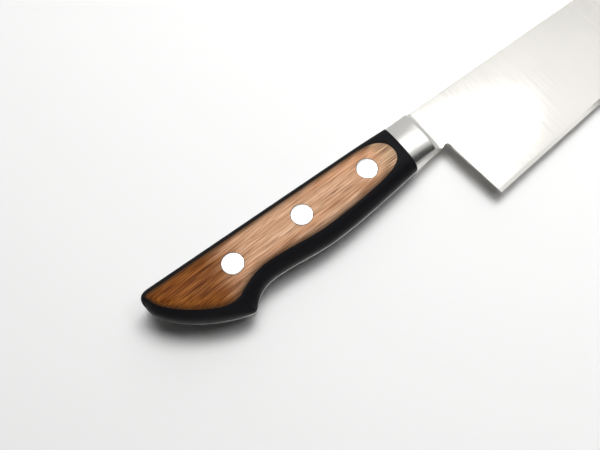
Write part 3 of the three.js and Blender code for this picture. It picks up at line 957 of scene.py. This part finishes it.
def lay_floor():
    mesh = bpy.data.meshes.new("floor")
    corners = [(x * FLOOR_HALF, y * FLOOR_HALF, 0) for x, y in ((-1, -1), (1, -1), (1, 1), (-1, 1))]
    mesh.from_pydata(corners, [], [(0, 1, 2, 3)])
    floor = bpy.data.objects.new("floor", mesh)
    lowest = min(FLOOR_UP.dot(vertex.co) for piece in pieces for vertex in piece.data.vertices)
    tilt = FLOOR_UP.to_track_quat("Z", "Y").to_matrix().to_4x4()
    floor.matrix_world = Matrix.Translation(FLOOR_UP * lowest) @ tilt
    bpy.context.scene.collection.objects.link(floor)
    paper = Surface("paper")
    paper.set(base_color=(0.93, 0.93, 0.925, 1), roughness=0.9, specular_ior_level=0.1)
    white = paper.add("ShaderNodeEmission")
    distance = paper.vector("DISTANCE", paper.spot, (0, 0, 0), "Value")
    far = paper.math("MULTIPLY", paper.remap(distance, *FLOOR_FADE), paper.seen())
    paper.cover(far, white.outputs[0])
    mesh.materials.append(paper.material)


lay_floor()

# Lamps, in metres: a softbox with a broad one round it that metal doesn't mirror, three weaker ones
# beside them, and panels that a spot on the bevel and one on the bolster mirror, given in millimetres

BEVEL_SPOT = (40, -44, 0)
BOLSTER_SPOT = (5, -10, 5)


def direction(azimuth, elevation):
    turn = math.radians(azimuth)
    rise = math.radians(elevation)
    return Vector((math.cos(turn) * math.cos(rise), math.sin(turn) * math.cos(rise), math.sin(rise)))


def panel(name, centre, towards, size, radiance):
    """An oval area light whose face shows the given radiance."""
    lamp = bpy.data.lights.new(name, "AREA")
    lamp.shape = "ELLIPSE"
    lamp.size, lamp.size_y = size
    lamp.energy = radiance * math.pi * math.pi / 4 * size[0] * size[1]
    light = bpy.data.objects.new(name, lamp)
    aim = (Vector(towards) - Vector(centre)).to_track_quat("-Z", "Y")
    light.matrix_world = Matrix.Translation(centre) @ aim.to_matrix().to_4x4()
    bpy.context.scene.collection.objects.link(light)
    return light


def softbox(name, x, y, height, size, radiance, towards=None):
    """A panel that looks straight down, or towards a given place."""
    return panel(name, (x, y, height), towards or (x, y, 0), size, radiance)


def mirrored_panel(name, spot, azimuth, elevation, distance, size, radiance):
    """A panel in the direction that a spot on the knife mirrors."""
    target = Vector(place(spot))
    return panel(name, target + distance * direction(azimuth, elevation), target, size, radiance)


softbox("softbox", x=0.122, y=0.143, height=0.7, size=(0.325, 0.165), radiance=9.0)
broad_softbox = softbox("broad_softbox", x=0.122, y=0.143, height=0.7, size=(0.5, 0.4), radiance=6.2)
broad_softbox.visible_glossy = False
softbox("fill_softbox", x=0.22, y=-0.16, height=0.7, size=(0.22, 0.16), radiance=7.0, towards=(0.05, 0, 0))
softbox("diffuser", x=0.21, y=0.143, height=0.72, size=(0.56, 0.17), radiance=2.0)
softbox("side_softbox", x=-0.1, y=0.3, height=0.7, size=(0.3, 0.25), radiance=2.5, towards=(-0.1, 0, 0))
mirrored_panel(
    "edge_panel", BEVEL_SPOT, azimuth=-23, elevation=53, distance=1.5, size=(0.5, 0.4), radiance=0.8
)
mirrored_panel(
    "side_panel", BOLSTER_SPOT, azimuth=15, elevation=39, distance=2, size=(0.62, 0.2), radiance=1.6
)

# Room: dim, with a pale wall beyond the spine and a glow beyond the point, which both end at the edge's
# side. Metal also shows a backdrop of soft waves, left out on the side that the photographed flank mirrors
# but not straight overhead. Each spread gives the cosines, or the height, between which a part comes in.

DIM = 0.05
WALL = 0.65
WALL_WAY = direction(35, 32)
WALL_SPREAD = (0.66, 0.86)
GLOW = 0.38
GLOW_WAY = direction(13, 57)
GLOW_SPREAD = (0.966, 0.998)
EDGE_WAY = (0, -1, 0)
EDGE_SPREAD = (0.0, 0.22)
BACKDROP = (0.42, 0.8)
BACKDROP_WAVES = 3
BACKDROP_TURN = math.radians(30)
MIRRORED_WAY = direction(5, 50)
MIRRORED_SPREAD = (0.62, 0.78)
OVERHEAD_SPREAD = (0.94, 0.98)


def light_room():
    world = bpy.data.worlds.new("room")
    bpy.context.scene.world = world
    room = Nodes(world)
    ray = room.add("ShaderNodeTexCoord").outputs["Generated"]

    def towards(way):
        return room.vector("DOT_PRODUCT", ray, way, "Value")

    wall = room.remap(towards(WALL_WAY), *WALL_SPREAD, DIM, WALL)
    glow = room.remap(towards(GLOW_WAY), *GLOW_SPREAD, 0.0, GLOW)
    radiance = room.remap(towards(EDGE_WAY), *EDGE_SPREAD, room.math("ADD", wall, glow), DIM)
    x, y, height = room.parts(ray)
    turn = room.math("MULTIPLY", room.math("ARCTAN2", y, x), BACKDROP_WAVES)
    wave = room.math("COSINE", room.math("SUBTRACT", turn, BACKDROP_TURN))
    beside = room.remap(towards(MIRRORED_WAY), *MIRRORED_SPREAD, 1.0, 0.0)
    outside = room.math("MAXIMUM", beside, room.remap(height, *OVERHEAD_SPREAD))
    backdrop = room.math("MULTIPLY", room.remap(wave, -1.0, 1.0, *BACKDROP), outside)
    radiance = room.math("MAXIMUM", radiance, room.math("MULTIPLY", backdrop, room.seen()))
    seen_by_camera = room.add("ShaderNodeLightPath").outputs["Is Camera Ray"]
    sky = room.add("ShaderNodeBackground")
    sky.inputs["Color"].default_value = (1, 1, 1, 1)
    room.feed(sky.inputs["Strength"], room.math("MAXIMUM", radiance, seen_by_camera))
    room.feed(room.add("ShaderNodeOutputWorld").inputs[0], sky.outputs[0])


light_room()

# Camera, solved from the outlines in the photograph

SENSOR_WIDTH = 36
LENS = 38.4
CAMERA_PLACE = (-0.156866, -0.052383, 0.229616)
CAMERA_TURN = (math.radians(20), 0, math.radians(-37.1516))

camera_data = bpy.data.cameras.new("camera")
camera_data.sensor_width = SENSOR_WIDTH
camera_data.lens = LENS
camera_data.clip_start = 0.01
camera = bpy.data.objects.new("camera", camera_data)
camera.location = CAMERA_PLACE
camera.rotation_euler = CAMERA_TURN
bpy.context.scene.collection.objects.link(camera)
bpy.context.scene.camera = camera
bpy.context.scene.view_settings.view_transform = "Standard"
